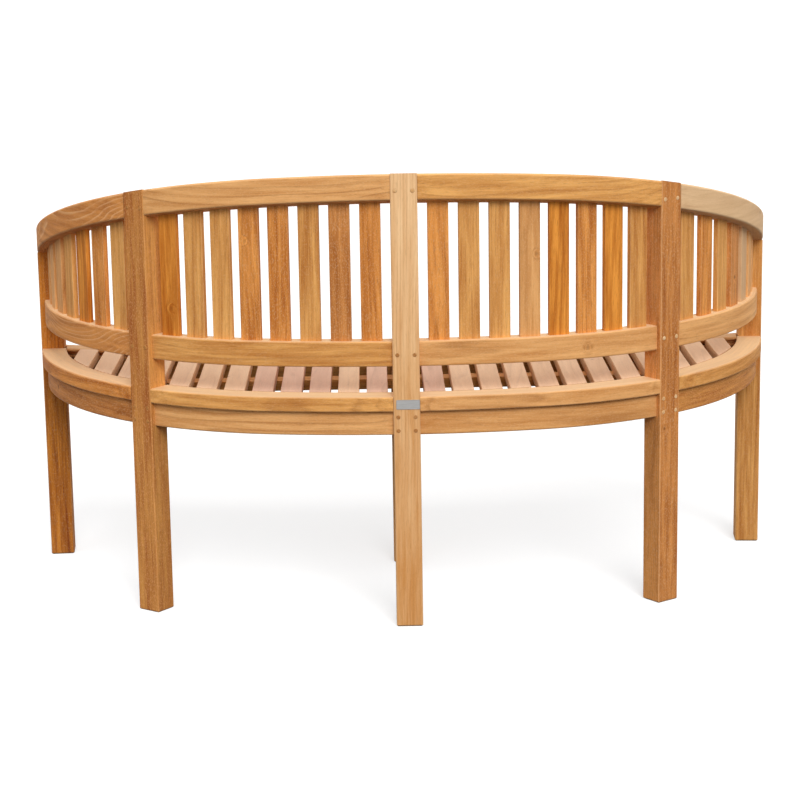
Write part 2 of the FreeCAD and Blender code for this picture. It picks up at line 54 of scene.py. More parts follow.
for start_object in ("Cube", "Light", "Camera"):
    if start_object in bpy.data.objects:
        bpy.data.objects.remove(bpy.data.objects[start_object])
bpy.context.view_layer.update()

MM = 1000.0
WELD_PER_METRE = 1e6
UP = Vector((0.0, 0.0, 1.0))
WHITE = (1.0, 1.0, 1.0, 1.0)
Socket = bpy.types.NodeSocket
Tree = bpy.types.NodeTree
Input = Socket | float | tuple[float, ...]

# How a board may lie in its log: distance and turn of the heart, place up the log, lean of the
# grain in degrees. The bow of a curved board is fitted by a polynomial
HEART_DISTANCE_MM = 85.0
HEART_DISTANCE_SPREAD = (0.65, 1.3)
HEART_TURN = 12.0
LOG_REACH_MM = 3000.0
GRAIN_LEAN = 1.5
BOW_DEGREE = 4

# Upward part of a face's normal. A face between the two values is an eased edge, which gets a painted
# highlight
UPRIGHT_RISE = 0.35
LEVEL_RISE = 0.93
EDGE_HIGHLIGHT = 0.18

# Most of a noise lies between these two levels
NOISE_LEVELS = (0.3, 0.7)
NOISE_MIDDLE = (0.5, 0.5, 0.5)

# Darkness of the wood through one year's growth, and how far the years' widths vary, in years
LATE_WOOD = [(0.0, 0.0), (0.58, 0.04), (0.82, 0.70), (0.90, 1.0), (1.0, 0.0)]
YEAR_SPREAD = 1.6
FAINTEST_LINE = 0.2
END_GRAIN_LEAN = (0.55, 0.95)

log = logging.getLogger("bench")


def linear(hex_colour: str) -> tuple[float, float, float, float]:
    """Turns an sRGB hex colour into linear RGBA.

    Args:
        hex_colour: Colour such as "#C8905A".

    Returns:
        Linear red, green, blue and an alpha of 1.
    """
    channels = []
    for start in (1, 3, 5):
        value = int(hex_colour[start:start + 2], 16) / 255.0
        channels.append(value / 12.92 if value <= 0.04045 else ((value + 0.055) / 1.055) ** 2.4)
    return channels[0], channels[1], channels[2], 1.0


def add_node(tree: Tree, kind: str, inputs: dict | None = None, **settings) -> bpy.types.Node:
    """Adds one node with its settings and links.

    Args:
        tree: Node tree that takes the node.
        kind: Blender's type name of the node.
        inputs: Socket name or number to a value, or to the output socket that feeds it.
        **settings: Properties of the node itself.

    Returns:
        The new node.
    """
    node = tree.nodes.new(kind)
    for key, value in settings.items():
        setattr(node, key, value)
    for key, value in (inputs or {}).items():
        if isinstance(value, Socket):
            tree.links.new(value, node.inputs[key])
        else:
            node.inputs[key].default_value = value
    return node


def new_material(name: str) -> tuple[bpy.types.Material, Tree]:
    """Makes an empty node material.

    Args:
        name: Name of the material.

    Returns:
        The material and its cleared node tree.
    """
    material = bpy.data.materials.new(name)
    material.use_nodes = True
    material.node_tree.nodes.clear()
    return material, material.node_tree


def set_ramp(node: bpy.types.Node, stops: list[tuple[float, float]]) -> None:
    """Sets the stops of a colour ramp to levels of grey.

    Args:
        node: Colour ramp node.
        stops: Positions from 0 to 1 with their level.
    """
    ramp = node.color_ramp
    while len(ramp.elements) < len(stops):
        ramp.elements.new(0.5)
    for element, (position, level) in zip(ramp.elements, stops):
        element.position = position
        element.color = (level, level, level, 1.0)


def scalar_math(tree: Tree, operation: str, *values: Input, clamp: bool = False) -> Socket:
    """Adds a calculation on numbers.

    Args:
        tree: Node tree that takes the node.
        operation: Blender's name of the operation.
        *values: Its operands in order.
        clamp: Whether the result stays between 0 and 1.

    Returns:
        The result.
    """
    node = add_node(tree, "ShaderNodeMath", dict(enumerate(values)), operation=operation, use_clamp=clamp)
    return node.outputs["Value"]


def vector_math(tree: Tree, operation: str, *values: Input, **named: Input) -> Socket:
    """Adds a calculation on vectors.

    Args:
        tree: Node tree that takes the node.
        operation: Blender's name of the operation.
        *values: Its operands in order.
        **named: Operands that go by name, such as Scale.

    Returns:
        The resulting vector.
    """
    inputs = {**dict(enumerate(values)), **named}
    node = add_node(tree, "ShaderNodeVectorMath", inputs, operation=operation)
    return node.outputs["Vector"]


def remap(tree: Tree, level: Socket, source: tuple[float, float], target: tuple[float, float],
          **settings) -> Socket:
    """Maps a level from one range to another, held at the ends.

    Args:
        tree: Node tree that takes the node.
        level: The level.
        source: The two ends of its range.
        target: What they become.
        **settings: Properties of the node itself.

    Returns:
        The mapped level.
    """
    ends = {"From Min": source[0], "From Max": source[1], "To Min": target[0], "To Max": target[1]}
    return add_node(tree, "ShaderNodeMapRange", {"Value": level, **ends}, **settings).outputs["Result"]


def blend(tree: Tree, share: Socket, under: Input, over: Input) -> Socket:
    """Lays one colour over another.

    Args:
        tree: Node tree that takes the node.
        share: Share of the upper colour.
        under: Lower colour.
        over: Upper colour.

    Returns:
        The mixed colour.
    """
    return add_node(tree, "ShaderNodeMix", {0: share, 6: under, 7: over}, data_type="RGBA").outputs[2]


def add_object(name: str, data: bpy.types.ID) -> bpy.types.Object:
    """Puts a new object into the scene.

    Args:
        name: Name of the object.
        data: Its mesh, light or camera.

    Returns:
        The object.
    """
    thing = bpy.data.objects.new(name, data)
    bpy.context.scene.collection.objects.link(thing)
    return thing


def finished_mesh(shape: bmesh.types.BMesh, name: str, smooth: bool) -> bpy.types.Mesh:
    """Turns a built shape into a mesh and frees it.

    Args:
        shape: The shape in the bench's frame.
        name: Name of the mesh.
        smooth: Whether its faces are shaded smooth.

    Returns:
        The mesh.
    """
    mesh = bpy.data.meshes.new(name)
    shape.to_mesh(mesh)
    shape.free()
    for face in mesh.polygons:
        face.use_smooth = smooth
    return mesh


def vectors(items: bpy.types.bpy_prop_collection, field: str) -> np.ndarray:
    """Reads a vector from each item of a mesh.

    Args:
        items: Vertices, vertex normals or faces.
        field: Name of the vector.

    Returns:
        One row for each item.
    """
    flat = np.empty(len(items) * 3)
    items.foreach_get(field, flat)
    return flat.reshape(len(items), 3)


def level_axis(places: np.ndarray) -> Vector:
    """Level direction in which a solid is longest.

    Args:
        places: Positions of the solid's vertices.

    Returns:
        The direction, pointing either way.
    """
    plan = places[:, :2]
    spread = np.linalg.svd(plan - plan.mean(axis=0), full_matrices=False)[2][0]
    return Vector((float(spread[0]), float(spread[1]), 0.0)).normalized()


class Cut(Enum):
    """How a board was sawn from the log, as the direction of the log's heart from the board."""

    FLAT = 90.0
    RIFT = 50.0
    QUARTER = 8.0


@dataclass(frozen=True)
class Figure:
    """A random figure of the wood: its size along and across the grain and how its noise is read."""

    along_mm: float
    across_mm: float
    octaves: float = 1.0
    levels: tuple[float, float] = NOISE_LEVELS
    fine_share: float = 0.55

    def noise(self, tree: Tree, grain: Socket) -> Socket:
        """Noise of this figure's size.

        Args:
            tree: Material's node tree.
            grain: Position in the log in millimetres, x along the grain.

        Returns:
            Level of the noise.
        """
        size = (1.0 / self.along_mm, 1.0 / self.across_mm, 1.0 / self.across_mm)
        stretched = vector_math(tree, "MULTIPLY", grain, size)
        node = add_node(tree, "ShaderNodeTexNoise", {
            "Vector": stretched, "Scale": 1.0, "Detail": self.octaves, "Roughness": self.fine_share})
        return node.outputs["Fac"]

    def act(self, tree: Tree, grain: Socket, start: float, end: float) -> Socket:
        """Effect on the wood, between its value at the figure's low level and at its high one."""
        return remap(tree, self.noise(tree, grain), self.levels, (start, end))


# Fibres are 0.3 mm wide in real teak, and pores and the flecks of chalk in them 0.2 mm. All three
# are drawn coarser, so that they show. The ripple is the 9 mm curl of interlocked fibres
STREAKS = Figure(170.0, 11.0, 2.0, (0.32, 0.68))
FIBRES = Figure(70.0, 2.5, 3.0)
FADING = Figure(300.0, 18.0, 1.0, (0.38, 0.60))
RIPPLE = Figure(9.0, 26.0)
PORES = Figure(16.0, 1.2, 1.0, (0.56, 0.70))
FLECKS = Figure(3.5, 1.7, 1.0, (0.53, 0.66))
UNEVEN_YEARS = Figure(700.0, 30.0)


@dataclass(frozen=True)
class TeakFinish:
    """Sanded, unoiled teak: a matt open-pored hardwood with thin dark growth lines and a dull sheen.

    The colours are those of the dry sanded face. A growth line is the dense late wood of one
    year, a pore is a cut vessel, and curl is the cross ripple of interlocked fibres. The figure
    is worked out in the log's own frame: x runs up the log and the heart lies on the x axis.
    rings, streaks, fibres, pores, flecks, curl and cores of knots are strengths from 0 to 1.
    """

    name: str
    light: str
    deep: str
    line: str
    dark: str = "#6E4220"
    chalk: str = "#F0D0A4"
    ring_mm: float = 5.5
    rings: float = 0.45
    streaks: float = 0.8
    fibres: float = 0.55
    pores: float = 0.35
    flecks: float = 0.12
    curl: float = 0.0
    wander_mm: float = 5.0
    wander_size_mm: tuple[float, float] = (260.0, 70.0)
    knot_spacing_mm: float = 190.0
    knotless_share: float = 0.82
    knot_swelling_mm: float = 15.0
    knot_core_mm: tuple[float, float] = (1.5, 5.0)
    knot_push_mm: float = 7.0
    cores: float = 0.7
    end_darkening: float = 0.35
    roughness: float = 0.70
    roughness_swing: float = 0.08
    relief: float = 0.0003

    def knots(self, tree: Tree, grain: Socket) -> tuple[Socket, Socket]:
        """Pin knots: twigs that run out from the heart, so a flat-sawn face cuts them across.

        Args:
            tree: Material's node tree.
            grain: Position in the log in millimetres.

        Returns:
            The swelling of the grain round a knot and the share of its dark core, both 0 to 1.
        """
        place = add_node(tree, "ShaderNodeSeparateXYZ", {0: grain})
        around = scalar_math(tree, "ARCTAN2", place.outputs["Z"], place.outputs["Y"])
        girth = scalar_math(tree, "MULTIPLY", around, HEART_DISTANCE_MM)
        bark = add_node(tree, "ShaderNodeCombineXYZ", {"X": place.outputs["X"], "Y": girth})
        twigs = add_node(tree, "ShaderNodeTexVoronoi", {
            "Vector": bark.outputs["Vector"], "Scale": 1.0 / self.knot_spacing_mm}, voronoi_dimensions="2D")
        reach = scalar_math(tree, "MULTIPLY", twigs.outputs["Distance"], self.knot_spacing_mm)
        luck = add_node(tree, "ShaderNodeSeparateXYZ", {0: twigs.outputs["Color"]})
        kept = scalar_math(tree, "GREATER_THAN", luck.outputs["X"], self.knotless_share)
        swelling = remap(tree, reach, (0.0, self.knot_swelling_mm), (1.0, 0.0),
                         interpolation_type="SMOOTHSTEP")
        core = remap(tree, reach, self.knot_core_mm, (1.0, 0.0))
        return scalar_math(tree, "MULTIPLY", swelling, kept), scalar_math(tree, "MULTIPLY", core, kept)

    def bent_grain(self, tree: Tree, grain: Socket, swelling: Socket) -> Socket:
        """Position in the log, moved sideways so that the grain wanders slowly and goes round knots.

        Args:
            tree: Material's node tree.
            grain: Position in the log in millimetres.
            swelling: Swelling of the grain round the knots.

        Returns:
            The bent position in millimetres.
        """
        along, across = self.wander_size_mm
        slow = vector_math(tree, "MULTIPLY", grain, (1.0 / along, 1.0 / across, 1.0 / across))
        sway = add_node(tree, "ShaderNodeTexNoise", {"Vector": slow, "Scale": 1.0, "Detail": 1.0})
        centred = vector_math(tree, "SUBTRACT", sway.outputs["Color"], NOISE_MIDDLE)
        reach = 2.0 * self.wander_mm
        moved = vector_math(tree, "MULTIPLY_ADD", centred, (0.0, reach, reach), grain)
        outwards = vector_math(tree, "SCALE", (0.0, self.knot_push_mm, self.knot_push_mm), Scale=swelling)
        return vector_math(tree, "ADD", moved, outwards)

    def growth_lines(self, tree: Tree, bent: Socket) -> Socket:
        """Dark late wood of the growth rings round the log's heart.

        Args:
            tree: Material's node tree.
            bent: Bent position in the log.

        Returns:
            0 in early wood, rising to 1 near the end of each year's growth.
        """
        across = vector_math(tree, "MULTIPLY", bent, (0.0, 1.0, 1.0))
        length = add_node(tree, "ShaderNodeVectorMath", {0: across}, operation="LENGTH")
        radius = length.outputs["Value"]
        uneven = UNEVEN_YEARS.noise(tree, bent)
        shifted = scalar_math(tree, "MULTIPLY_ADD", uneven, YEAR_SPREAD * self.ring_mm, radius)
        growth = scalar_math(tree, "FRACT", scalar_math(tree, "DIVIDE", shifted, self.ring_mm))
        shape = add_node(tree, "ShaderNodeValToRGB", {"Fac": growth})
        set_ramp(shape, LATE_WOOD)
        return shape.outputs["Color"]

    def build(self) -> bpy.types.Material:
        """Makes the node material of this finish.

        Returns:
            The material, which reads the board attributes that Board.lay writes.
        """
        material, tree = new_material(self.name)
        grain = add_node(tree, "ShaderNodeAttribute", attribute_name="grain_mm").outputs["Vector"]
        # The third attribute holds the painted highlight on eased edges and on faces that look up
        tint, end, rubbed = (add_node(tree, "ShaderNodeAttribute", attribute_name=attribute).outputs["Fac"]
                             for attribute in ("board_tint", "end_grain", "rubbed"))
        swelling, core = self.knots(tree, grain)
        bent = self.bent_grain(tree, grain, swelling)

        # Streaks and fibres move the wood between its light and its deep tone
        streak = STREAKS.act(tree, bent, -0.5 * self.streaks, 0.5 * self.streaks)
        fibre = FIBRES.noise(tree, bent)
        strand = remap(tree, fibre, FIBRES.levels, (-0.5 * self.fibres, 0.5 * self.fibres))
        swing = scalar_math(tree, "ADD", streak, strand)
        tone = scalar_math(tree, "ADD", swing, tint, clamp=True)
        body = blend(tree, tone, linear(self.light), linear(self.deep))

        # Growth lines fade in and out along the board
        fading = FADING.act(tree, bent, FAINTEST_LINE * self.rings, self.rings)
        ring_share = scalar_math(tree, "MULTIPLY", self.growth_lines(tree, bent), fading)
        lined = blend(tree, ring_share, body, linear(self.line))

        # Curl tilts the fibres to and fro, which shades them across the grain
        ripple = RIPPLE.act(tree, bent, 1.0 - self.curl, 1.0 + self.curl)
        rippled = vector_math(tree, "SCALE", lined, Scale=ripple)

        # Some pores are dark, and some hold a chalky deposit
        pores = PORES.act(tree, bent, 0.0, self.pores)
        pored = blend(tree, pores, rippled, linear(self.dark))
        flecks = FLECKS.act(tree, grain, 0.0, self.flecks)
        flecked = blend(tree, flecks, pored, linear(self.chalk))

        # Knot cores and cut ends are darker. Eased edges and faces that look up get a painted highlight
        # towards the chalk colour
        knot_share = scalar_math(tree, "MULTIPLY", core, self.cores)
        knotted = blend(tree, knot_share, flecked, linear(self.dark))
        end_share = remap(tree, end, END_GRAIN_LEAN, (0.0, self.end_darkening))
        ended = blend(tree, end_share, knotted, linear(self.dark))
        sheened = blend(tree, rubbed, ended, linear(self.chalk))

        dullness = remap(tree, fibre, FIBRES.levels, (
            self.roughness + self.roughness_swing, self.roughness - self.roughness_swing))
        relief = scalar_math(tree, "SUBTRACT", fibre, pores)
        bump = add_node(tree, "ShaderNodeBump", {"Height": relief, "Strength": 0.5, "Distance": self.relief})
        shader = add_node(tree, "ShaderNodeBsdfPrincipled", {
            "Base Color": sheened, "Roughness": dullness, "Normal": bump.outputs["Normal"],
            "IOR": 1.45, "Specular IOR Level": 0.2})
        add_node(tree, "ShaderNodeOutputMaterial", {"Surface": shader.outputs["BSDF"]})
        return material


@dataclass(frozen=True)
class BrushedSteel:
    """Brushed stainless steel sheet: a grey metal with fine level scratches that stretch its gloss.

    The scratches are drawn about ten times as wide as real ones, so that they show.
    """

    name: str
    colour: str = "#A9A8A6"
    scratch_mm: float = 0.5
    scratch_stretch: float = 40.0
    shades: tuple[float, float] = (0.82, 1.1)
    roughness: float = 0.38
    roughness_swing: float = 0.1
    relief: float = 0.0001

    def build(self) -> bpy.types.Material:
        """Makes the node material of this finish.

        Returns:
            The material, whose scratches run along the plate.
        """
        material, tree = new_material(self.name)
        place = add_node(tree, "ShaderNodeTexCoord").outputs["Object"]
        across = MM / self.scratch_mm
        stretched = vector_math(tree, "MULTIPLY", place, (across / self.scratch_stretch, across, across))
        noise = add_node(tree, "ShaderNodeTexNoise", {"Vector": stretched, "Scale": 1.0, "Detail": 2.0})
        scratch = noise.outputs["Fac"]
        shade = remap(tree, scratch, NOISE_LEVELS, self.shades)
        toned = vector_math(tree, "SCALE", linear(self.colour)[:3], Scale=shade)
        dullness = remap(tree, scratch, NOISE_LEVELS, (
            self.roughness + self.roughness_swing, self.roughness - self.roughness_swing))
        bump = add_node(tree, "ShaderNodeBump", {"Height": scratch, "Strength": 0.3, "Distance": self.relief})
        shader = add_node(tree, "ShaderNodeBsdfPrincipled", {
            "Base Color": toned, "Metallic": 1.0, "Roughness": dullness, "Normal": bump.outputs["Normal"]})
        add_node(tree, "ShaderNodeOutputMaterial", {"Surface": shader.outputs["BSDF"]})
        return material


class Teak(Enum):
    """The boards' finishes, each named for the look of its timber."""

    # Straw-coloured sapwood, little streaked
    PALE = TeakFinish("teak_pale_sapwood", "#F5CC9A", "#CA8C4E", "#B2753F", rings=0.5, streaks=0.4,
                      fibres=0.2, pores=0.15, flecks=0.05)
    # Even light wood with wide years
    HONEY = TeakFinish("teak_honey", "#F1B878", "#BC7A3C", "#935824", ring_mm=10.0, rings=0.5,
                       streaks=0.45, fibres=0.2, pores=0.2, cores=0.4)
    # Yellow heartwood, softly streaked
    GOLD = TeakFinish("teak_gold", "#E9AC62", "#B06C2C", "#905220", ring_mm=7.0, rings=0.4,
                      streaks=0.65, fibres=0.3, pores=0.25, cores=0.4)
    # Orange heartwood with clear streaks and pores
    AMBER = TeakFinish("teak_amber", "#E5994C", "#AC6020", "#8A480E", ring_mm=6.0, rings=0.35,
                       streaks=0.8, fibres=0.4, pores=0.35, flecks=0.18, cores=0.2)
    # The most saturated orange, boldly streaked
    FLAME = TeakFinish("teak_flame", "#E6963C", "#A6560A", "#864208", "#6A3A10", "#E8B070", ring_mm=7.0,
                       rings=0.4, streaks=0.9, fibres=0.35, pores=0.3, flecks=0.08, cores=0.2)
    # Red-brown wood full of chalky flecks
    RUSSET = TeakFinish("teak_russet", "#DE9E52", "#8E4014", "#7C4319", chalk="#E4A870", ring_mm=4.5,
                        rings=0.2, streaks=0.45, fibres=0.3, pores=0.3, flecks=0.42, curl=0.03)
    # Warm brown with a little fleck
    COPPER = TeakFinish("teak_copper", "#DC9450", "#9A5620", "#7C4319", rings=0.3, streaks=0.6,
                        fibres=0.4, pores=0.3, flecks=0.2, curl=0.03)
    # Brown wood whose growth lines show as pale arcs
    CURLY = TeakFinish("teak_curly", "#DE9650", "#98501C", "#EDBB84", ring_mm=4.5, rings=0.6,
                       streaks=0.5, fibres=0.15, pores=0.12, flecks=0.12, curl=0.02, wander_mm=9.0)
    # Dull beige, almost plain
    ROSE = TeakFinish("teak_rose", "#EAC79B", "#B58455", "#A5734A", ring_mm=8.0, rings=0.22,
                      streaks=0.22, fibres=0.12, pores=0.08, wander_mm=7.0)
    # The darkest brown, with strong lines and fibres
    UMBER = TeakFinish("teak_umber", "#CE802E", "#8A4412", "#6C3408", ring_mm=4.5)
    # Pale peach of the seat slats
    SEAT = TeakFinish("teak_seat", "#F0C294", "#C6905E", "#A87048", chalk="#EFCFB2", rings=0.3,
                      streaks=0.4, fibres=0.22, pores=0.2)
    # A pinker seat slat
    DUSKY = TeakFinish("teak_seat_dusky", "#E8B898", "#BC8660", "#9A684C", chalk="#E9C6B0", rings=0.3,
                       streaks=0.4, fibres=0.22, pores=0.2)
    # Light sanded end grain of the pegs
    PEG = TeakFinish("teak_peg_end", "#F0CFA2", "#D9A76E", "#A8733F", ring_mm=2.0, rings=0.3,
                     end_darkening=0.08)


@cache
def material_of(finish: TeakFinish | BrushedSteel) -> bpy.types.Material:
    """Builds a finish's material once and hands out the same one each time.

    Args:
        finish: The finish wanted.

    Returns:
        Its material.
    """
    return finish.build()


@dataclass
class Board:
    """One piece of timber: where its grain runs and which finish it has.

    The tint places it between its finish's light tone, 0, and deep tone, 1. It can move to
    far_tint at the board's other end. The side tints are painted light: they are added on the two
    faces that across points through, one at each end, so that a post's sides show lighter. The top
    sheen is a painted highlight on a face that looks up at the light. Planks for curved rails are
    picked so that the grain follows the curve. run_out is the share of the curve that the grain
    doesn't follow: there the lines run out of the face in arcs.
    """

    seed: str
    along: Vector
    across: Vector
    teak: Teak
    tint: float
    cut: Cut = Cut.FLAT
    curved: bool = False
    far_tint: float | None = None
    side_tints: tuple[float, float] = (0.0, 0.0)
    bleach: float = 0.08
    run_out: float = 0.2

    def lay(self, mesh: bpy.types.Mesh, points: np.ndarray, faces: np.ndarray, slot: int,
            layers: "BoardLayers") -> None:
        """Writes the board's grain, tone and end grain, and the painted highlight on its eased edges and
        upward faces, to part of a mesh.

        Args:
            mesh: Mesh that holds the board; not used.
            points: Numbers of the board's vertices.
            faces: Numbers of the board's faces.
            slot: Material slot of the board's finish.
            layers: Attribute values of the whole mesh, which are filled in here.
        """
        luck = random.Random("board " + self.seed)
        axes = np.array([self.along, self.across, self.along.cross(self.across)])
        place = layers.places[points]
        centre = (place.min(axis=0) + place.max(axis=0)) / 2.0
        heart_distance = HEART_DISTANCE_MM * luck.uniform(*HEART_DISTANCE_SPREAD)
        heart_angle = math.radians(self.cut.value + luck.uniform(-HEART_TURN, HEART_TURN))
        heart = np.array([luck.uniform(-LOG_REACH_MM, LOG_REACH_MM), heart_distance * math.cos(heart_angle),
                          heart_distance * math.sin(heart_angle)])
        local = (place - centre) @ axes.T * MM
        if self.curved:
            bow = np.polynomial.Polynomial.fit(local[:, 0], local[:, 2], BOW_DEGREE)
            local[:, 2] -= (1.0 - self.run_out) * bow(local[:, 0])
        lean = [math.tan(math.radians(luck.uniform(-GRAIN_LEAN, GRAIN_LEAN))) for _ in range(2)]
        layers.grain[points] = local + local[:, :1] * np.array([0.0, *lean]) + heart
        share = (local[:, 0] - local[:, 0].min()) / np.ptp(local[:, 0])
        far_tint = self.tint if self.far_tint is None else self.far_tint
        front = self.tint + share * (far_tint - self.tint)
        # Painted light: the side tints lighten the faces that across points through
        near_side, far_side = self.side_tints
        side = near_side + share * (far_side - near_side)
        layers.tint[points] = front + side * np.abs(layers.facing[points] @ axes[1])
        leaning = np.abs(layers.normals[faces] @ axes.T)
        layers.end[faces] = leaning[:, 0]
        # Painted highlight on the eased edges, and painted sheen on the faces that look up
        rise = layers.normals[faces][:, 2]
        eased = (np.abs(rise) > UPRIGHT_RISE) & (np.abs(rise) < LEVEL_RISE)
        if not self.curved:
            eased |= leaning.max(axis=1) < LEVEL_RISE
        top = np.where(rise > LEVEL_RISE, self.bleach, 0.0)
        layers.rubbed[faces] = np.where(eased, EDGE_HIGHLIGHT, top)
        layers.slots[faces] = slot


class BoardLayers:
    """Attribute values of one mesh, gathered board by board and written at the end."""

    def __init__(self, mesh: bpy.types.Mesh) -> None:
        """Reads the mesh.

        Args:
            mesh: Mesh in metres in the bench's own frame.
        """
        self.mesh = mesh
        self.places = vectors(mesh.vertices, "co")
        self.facing = vectors(mesh.vertex_normals, "vector")
        self.normals = vectors(mesh.polygons, "normal")
        count, faces = len(self.places), len(self.normals)
        self.grain = np.zeros((count, 3))
        self.tint = np.zeros(count)
        self.end = np.zeros(faces)
        self.rubbed = np.zeros(faces)
        self.slots = np.zeros(faces, dtype=np.int32)

    def solids(self) -> list[tuple[np.ndarray, np.ndarray]]:
        """Splits the mesh into its separate solids, from left to right.

        Returns:
            For each solid the numbers of its vertices and of its faces.
        """
        keys = {}
        weld = np.empty(len(self.places), dtype=np.int64)
        for number, key in enumerate(map(tuple, np.round(self.places * WELD_PER_METRE).astype(np.int64))):
            weld[number] = keys.setdefault(key, len(keys))
        parent = list(range(len(keys)))

        def root(item: int) -> int:
            """Finds the solid that a welded point belongs to so far.

            Args:
                item: Number of the welded point.

            Returns:
                Number of the point that stands for its solid.
            """
            while parent[item] != item:
                parent[item] = parent[parent[item]]
                item = parent[item]
            return item

        corners = [[int(weld[v]) for v in face.vertices] for face in self.mesh.polygons]
        for face in corners:
            for corner in face[1:]:
                parent[root(corner)] = root(face[0])
        point_roots = np.array([root(int(item)) for item in weld])
        face_roots = np.array([root(face[0]) for face in corners])
        groups = []
        for name in np.unique(face_roots):
            groups.append((np.where(point_roots == name)[0], np.where(face_roots == name)[0]))
        groups.sort(key=lambda group: float(self.places[group[0]][:, 0].mean()))
        return groups

    def write(self) -> None:
        """Stores the attributes on the mesh."""
        for name, domain, values in (("grain_mm", "POINT", self.grain), ("board_tint", "POINT", self.tint),
                                     ("end_grain", "FACE", self.end), ("rubbed", "FACE", self.rubbed)):
            kind, field = ("FLOAT_VECTOR", "vector") if values.ndim == 2 else ("FLOAT", "value")
            layer = self.mesh.attributes.new(name, kind, domain)
            layer.data.foreach_set(field, values.ravel())
        self.mesh.polygons.foreach_set("material_index", self.slots)
        self.mesh.update()


def dress(name: str, boards: list[Board], thing: bpy.types.Object | None = None) -> None:
    """Gives a timber piece its boards' grain and finishes.

    Args:
        name: Name of the CAD node or piece.
        boards: One board for each solid, from left to right, or one for them all.
        thing: The piece itself, or None for the CAD node of that name.
    """
    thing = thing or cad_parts[name]
    layers = BoardLayers(thing.data)
    thing.data.materials.clear()
    used: list[str] = []
    whole = (np.arange(len(layers.places)), np.arange(len(layers.normals)))
    solids = layers.solids() if len(boards) > 1 else [whole]
    if len(solids) != len(boards):
        raise ValueError(f"{name} has {len(solids)} solids for {len(boards)} boards")
    for board, (points, faces) in zip(boards, solids):
        finish = board.teak.value
        if finish.name not in used:
            used.append(finish.name)
            thing.data.materials.append(material_of(finish))
        board.lay(thing.data, points, faces, used.index(finish.name), layers)
    layers.write()
    log.info("dressed %s as %s", name, ", ".join(used))


def turned(angle: float) -> tuple[Vector, Vector]:
    """Directions of the back where its plan curve has turned by an angle.

    Args:
        angle: Turn in degrees, negative to the left.

    Returns:
        Direction along the curve to the right, and inwards to the sitter.
    """
    turn = math.radians(angle)
    return Vector((math.cos(turn), math.sin(turn), 0.0)), Vector((-math.sin(turn), math.cos(turn), 0.0))


@dataclass
class Posts:
    """The five posts and the middle leg under the front board."""

    corner_angle: float = 36.4
    end_angle: float = 85.5

    def build(self) -> None:
        """Dresses the posts, with their grain upright."""
        # The side tints lighten the corner posts' side faces towards the top or the foot: painted light
        plain, lit_sides_top, lit_sides_foot = (0.0, 0.0), (0.0, -0.5), (-0.5, -0.1)
        for name, angle, teak, foot, top, sides, cut in (
                # The left end post and the middle post are darker at the foot: painted shade under the seat
                ("left_end_post", -self.end_angle, Teak.UMBER, 0.62, 0.05, plain, Cut.RIFT),
                ("left_corner_post", -self.corner_angle, Teak.RUSSET, 0.46, 0.60, lit_sides_top, Cut.RIFT),
                ("middle_post", 0.0, Teak.PALE, 0.95, 0.25, plain, Cut.QUARTER),
                ("right_corner_post", self.corner_angle, Teak.COPPER, 0.50, 0.55, lit_sides_foot, Cut.FLAT),
                ("right_end_post", self.end_angle, Teak.GOLD, 0.55, 0.58, plain, Cut.RIFT),
                ("front_leg", 0.0, Teak.HONEY, 0.5, 0.5, plain, Cut.RIFT)):
            across = turned(angle)[0]
            board = Board(name, UP, across, teak, foot, cut, far_tint=top, side_tints=sides)
            dress(name, [board])


@dataclass
class CurvedRails:
    """The bowed top rails, lower rails, seat boards and aprons of the four bays."""

    middle_bay_angle: float = 18.2
    end_bay_angle: float = 60.95
    plain_run_out: float = 0.15
    curly_run_out: float = 0.7
    # Painted highlight on faces that look up: none on the top rails, strong on the ledges of the other bars
    top_bleach: float = 0.0
    ledge_bleach: float = 0.6

    def build(self) -> None:
        """Dresses the bowed bars, with their grain along each bay's chord."""
        bays = (("left_end", -self.end_bay_angle), ("left_middle", -self.middle_bay_angle),
                ("right_middle", self.middle_bay_angle), ("right_end", self.end_bay_angle))
        looks = {
            "top_rail": ((Teak.CURLY, 0.40, Cut.FLAT), (Teak.HONEY, 0.44, Cut.RIFT),
                         (Teak.GOLD, 0.35, Cut.RIFT), (Teak.ROSE, 0.35, Cut.FLAT)),
            "lower_rail": ((Teak.CURLY, 0.4, Cut.RIFT), (Teak.GOLD, 0.5, Cut.RIFT),
                           (Teak.HONEY, 0.5, Cut.FLAT), (Teak.HONEY, 0.44, Cut.RIFT)),
            "seat_board": ((Teak.AMBER, 0.55, Cut.FLAT), (Teak.GOLD, 0.4, Cut.FLAT),
                           (Teak.HONEY, 0.5, Cut.FLAT), (Teak.GOLD, 0.55, Cut.FLAT)),
            "apron": ((Teak.COPPER, 0.6, Cut.FLAT), (Teak.HONEY, 0.45, Cut.RIFT),
                      (Teak.HONEY, 0.65, Cut.FLAT), (Teak.RUSSET, 0.42, Cut.FLAT)),
        }
        for part, row in looks.items():
            for (bay, angle), (teak, tint, cut) in zip(bays, row):
                name = part + "_" + bay
                along = turned(angle)[0]
                run_out = self.curly_run_out if teak is Teak.CURLY else self.plain_run_out
                bleach = self.top_bleach if part == "top_rail" else self.ledge_bleach
                board = Board(name, along, UP, teak, tint, cut, curved=True, run_out=run_out, bleach=bleach)
                dress(name, [board])


